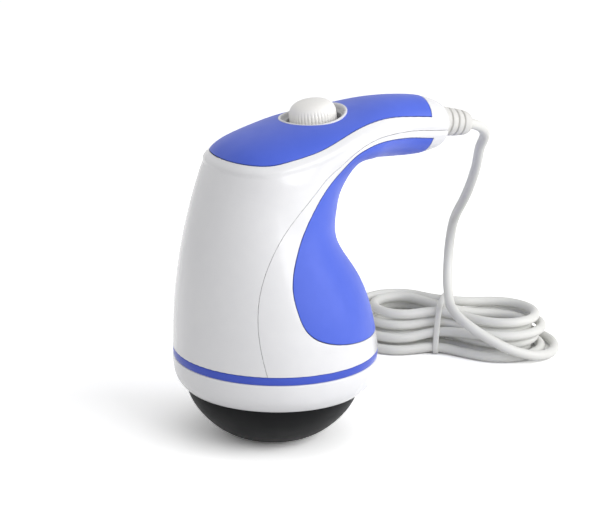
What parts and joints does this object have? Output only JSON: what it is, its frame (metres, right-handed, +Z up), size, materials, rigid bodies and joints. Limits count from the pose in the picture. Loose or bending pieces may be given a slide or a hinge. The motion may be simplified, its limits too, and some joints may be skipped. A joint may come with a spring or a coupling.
{
  "type": "body massager",
  "caption": "Hand-held body massager with a domed orbiting head, a curved handle, a speed dial on top and a mains cord tied in a hank beside it.",
  "frame": {"origin": "on the small flat at the bottom of the domed head, under the motor axis, where the massager stands", "axes": "+Z up along the motor axis, +X towards the free end of the handle, +Y to the left of someone looking along +X"},
  "size_m": [0.3327, 0.2178, 0.2156],
  "materials": {
    "white_abs": "smooth gloss white moulding",
    "blue_abs": "smooth gloss blue moulding",
    "black_plastic": "fine matt black moulding",
    "grey_nylon": "matt grey nylon",
    "silver_plate": "silver-grey satin moulding",
    "knob_white": "satin warm white moulding",
    "steel": "plain bright steel",
    "core_steel": "laminated steel, oiled",
    "copper": "enamelled copper",
    "carbon": "pressed carbon",
    "brass": "plain brass",
    "ferrite": "dark ferrite",
    "green_board": "green solder mask",
    "soft_pvc": "soft white sleeve",
    "red_pvc": "red insulation"
  },
  "bodies": {
    "body": {"front_shell": "white_abs", "rear_shell": "white_abs", "top_panel": "blue_abs", "grip_panel": "blue_abs", "dial_bezel": "silver_plate", "speed_control": "grey_nylon", "control_board": "green_board", "board_part_1": "black_plastic", "board_part_2": "black_plastic", "board_screw_1": "steel", "board_screw_2": "steel", "trim_ring": "blue_abs", "skirt_ring": "white_abs", "base_plate": "grey_nylon", "base_screw_1": "steel", "base_screw_2": "steel", "base_screw_3": "steel", "base_screw_4": "steel", "guide_post_1": "steel", "guide_post_2": "steel", "guide_post_3": "steel", "lower_bearing": "steel", "motor_can": "steel", "motor_magnet_1": "ferrite", "motor_magnet_2": "ferrite", "motor_end_bell": "black_plastic", "upper_bearing": "steel", "carbon_brush_1": "carbon", "carbon_brush_2": "carbon", "brush_holder_1": "brass", "brush_holder_2": "brass", "strain_relief": "soft_pvc", "cord_clamp": "grey_nylon", "clamp_screw_1": "steel", "clamp_screw_2": "steel", "supply_lead": "soft_pvc", "motor_lead_1": "carbon", "motor_lead_2": "red_pvc", "cord_lead": "soft_pvc", "cord_hank": "soft_pvc", "cord_tie": "soft_pvc", "plug_body": "soft_pvc", "plug_pin_1": "brass", "plug_pin_2": "brass"},
    "dial": {"dial_knob": "knob_white"},
    "rotor": {"rotor_shaft": "steel", "rotor_core": "core_steel", "rotor_winding_1": "copper", "rotor_winding_2": "copper", "commutator": "copper", "cooling_fan": "black_plastic", "eccentric_hub": "steel", "counterweight": "brass"},
    "head": {"massage_head": "black_plastic", "head_carrier": "grey_nylon", "orbit_bearing": "steel", "carrier_screw_1": "steel", "carrier_screw_2": "steel", "carrier_screw_3": "steel"}
  },
  "joints": [
    {"name": "dial_turn", "type": "hinge", "parent": "body", "child": "dial", "pos_m": [0.0245, 0, 0.2057], "axis": [-0.1616, 0, 0.9869], "range_deg": [-270, 0]},
    {"name": "motor_spin", "type": "hinge", "parent": "body", "child": "rotor", "pos_m": [0, 0, 0.1], "axis": [0, 0, 1], "continuous": true},
    {"name": "head_orbit", "type": "hinge", "parent": "rotor", "child": "head", "pos_m": [-0.0015, 0, 0.042], "axis": [0, 0, 1], "continuous": true}
  ],
  "couplings": [
    {"joint": "head_orbit", "follows": "motor_spin", "ratio": -1}
  ]
}
